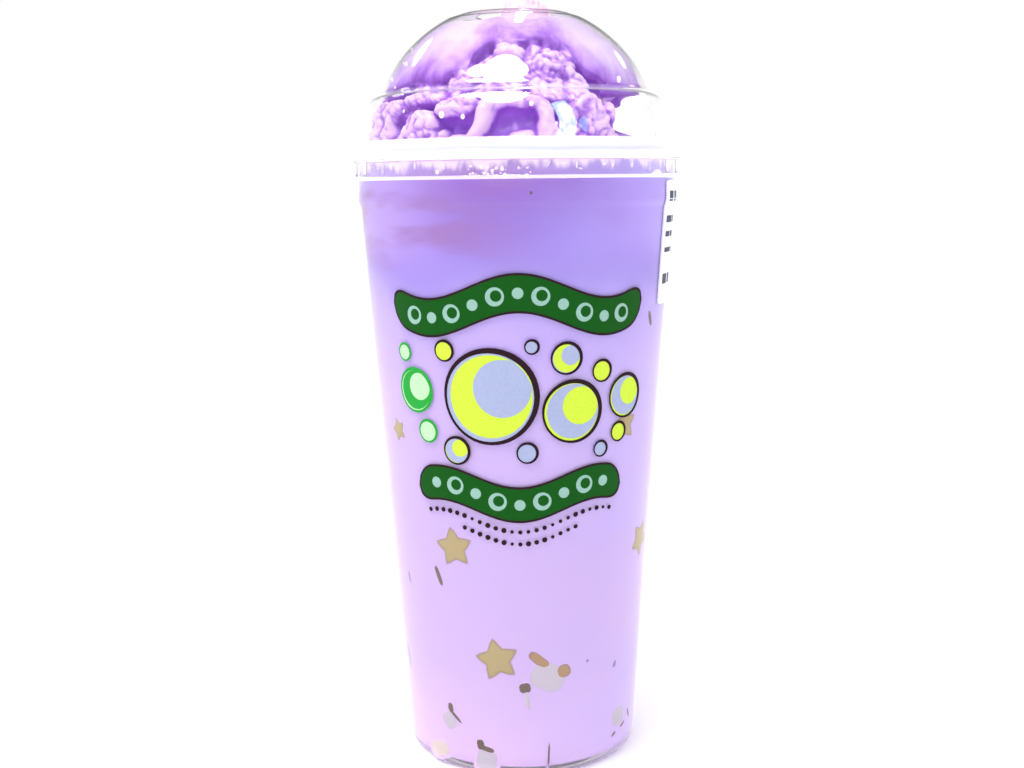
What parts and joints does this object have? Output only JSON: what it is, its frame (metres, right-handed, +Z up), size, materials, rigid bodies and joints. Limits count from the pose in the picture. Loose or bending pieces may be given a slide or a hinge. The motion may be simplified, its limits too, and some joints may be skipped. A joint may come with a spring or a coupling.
{
  "type": "taro bubble tea",
  "caption": "Tall clear plastic cup of milky lilac taro drink with star jellies, under a clear dome lid full of lumpy taro ice.",
  "frame": {"origin": "on the table under the middle of the cup", "axes": "+Z up the cup's axis, -Y towards the front of the print, +X to the right seen from the front"},
  "size_m": [0.0926, 0.0926, 0.2175],
  "materials": {
    "cup_plastic": "clear, slightly milky polypropylene, glossy",
    "lid_plastic": "clear thin thermoformed plastic, glossy",
    "drink": "opaque milky liquid, lilac, darker purple at the top",
    "taro_ice": "rough wet blended ice, purple to pinkish white",
    "label_paper": "smooth white paper",
    "print_ink": "thin screen-printed ink",
    "star_jelly": "smooth cloudy jelly"
  },
  "bodies": {
    "root": {"cup": "cup_plastic", "dome_lid": "lid_plastic", "drink": "drink", "taro_ice": "taro_ice", "order_label": "label_paper"}
  },
  "joints": []
}
